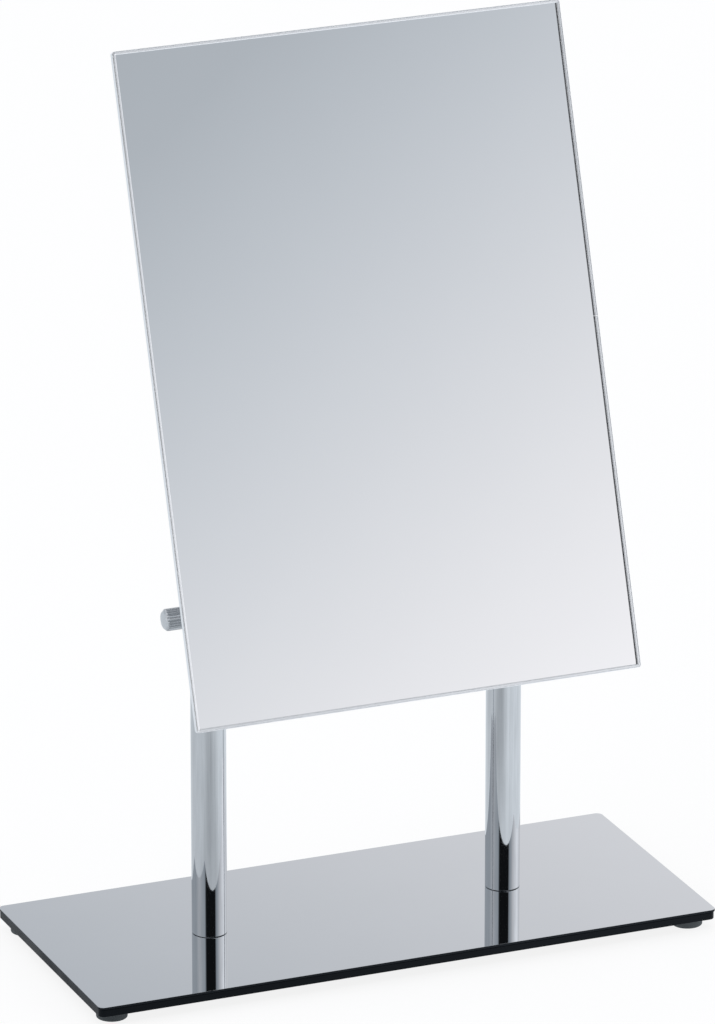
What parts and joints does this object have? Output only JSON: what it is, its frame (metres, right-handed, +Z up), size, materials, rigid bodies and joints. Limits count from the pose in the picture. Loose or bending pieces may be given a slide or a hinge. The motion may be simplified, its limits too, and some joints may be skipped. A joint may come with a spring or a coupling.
{
  "type": "extendable shaving mirror",
  "caption": "Free-standing shaving mirror: a rectangular pane in a slim band tilts on a crossbar between telescopic posts that rise from a weighted flat base.",
  "frame": {"origin": "centre of the whole mirror's envelope at rest, on the surface that the feet stand on", "axes": "+X along the base's long side to the user's right, +Y away from the user, +Z up along the posts"},
  "size_m": [0.225, 0.104, 0.3155],
  "materials": {
    "polished_plate": "mirror-polished chrome plate",
    "black_paint": "satin black paint",
    "rubber": "matt grey rubber",
    "chrome": "bright chrome plate",
    "plain_steel": "zinc-plated steel",
    "brass": "turned brass",
    "white_nylon": "natural nylon",
    "black_nylon": "black nylon",
    "mirror_silver": "silvered float glass",
    "grey_plastic": "silver-grey moulded plastic with a fine grain",
    "foam": "double-sided adhesive foam"
  },
  "bodies": {
    "stand": {"base_top_plate": "polished_plate", "base_weight": "black_paint", "foot_front_left": "rubber", "foot_front_right": "rubber", "foot_back_left": "rubber", "foot_back_right": "rubber", "post_screw_left": "plain_steel", "post_screw_right": "plain_steel", "post_washer_left": "plain_steel", "post_washer_right": "plain_steel", "tube_plug_left": "plain_steel", "tube_plug_right": "plain_steel", "outer_tube_left": "chrome", "outer_tube_right": "chrome", "guide_collar_left": "chrome", "guide_collar_right": "chrome", "clamp_boss": "brass"},
    "lift": {"slide_foot_left": "black_nylon", "slide_foot_right": "black_nylon", "inner_tube_left": "chrome", "inner_tube_right": "chrome", "post_head_left": "chrome", "post_head_right": "chrome", "head_grub_screw_left": "plain_steel", "head_grub_screw_right": "plain_steel", "crossbar": "chrome", "spring_washer_left": "plain_steel", "spring_washer_right": "plain_steel", "hinge_collar_left": "chrome", "hinge_collar_right": "chrome", "collar_grub_screw_left": "plain_steel", "collar_grub_screw_right": "plain_steel"},
    "mirror": {"hinge_plate": "plain_steel", "hinge_bush_left": "white_nylon", "hinge_bush_right": "white_nylon", "hinge_screw_1": "plain_steel", "hinge_screw_2": "plain_steel", "hinge_screw_3": "plain_steel", "hinge_screw_4": "plain_steel", "back_cover": "grey_plastic", "foam_pad": "foam", "mirror_glass": "mirror_silver", "frame_band": "chrome"},
    "pad": {"clamp_pad": "white_nylon"},
    "knob": {"clamp_screw": "plain_steel", "clamp_knob": "chrome"}
  },
  "joints": [
    {"name": "height_slide", "type": "slide", "parent": "stand", "child": "lift", "axis": [0, 0, 1], "range_m": [0, 0.08]},
    {"name": "mirror_tilt", "type": "hinge", "parent": "lift", "child": "mirror", "pos_m": [0, 0.0035, 0.2023], "axis": [-1, 0, 0], "range_deg": [-21, 55]},
    {"name": "clamp_pad_slide", "type": "slide", "parent": "stand", "child": "pad", "axis": [-1, 0, 0], "range_m": [0, 0.001]},
    {"name": "clamp_knob_turn", "type": "hinge", "parent": "pad", "child": "knob", "pos_m": [-0.066, 0.0035, 0.1214], "axis": [-1, 0, 0], "range_deg": [0, 720]}
  ],
  "couplings": [
    {"joint": "clamp_knob_turn", "follows": "clamp_pad_slide", "rad_per_m": 12566}
  ]
}
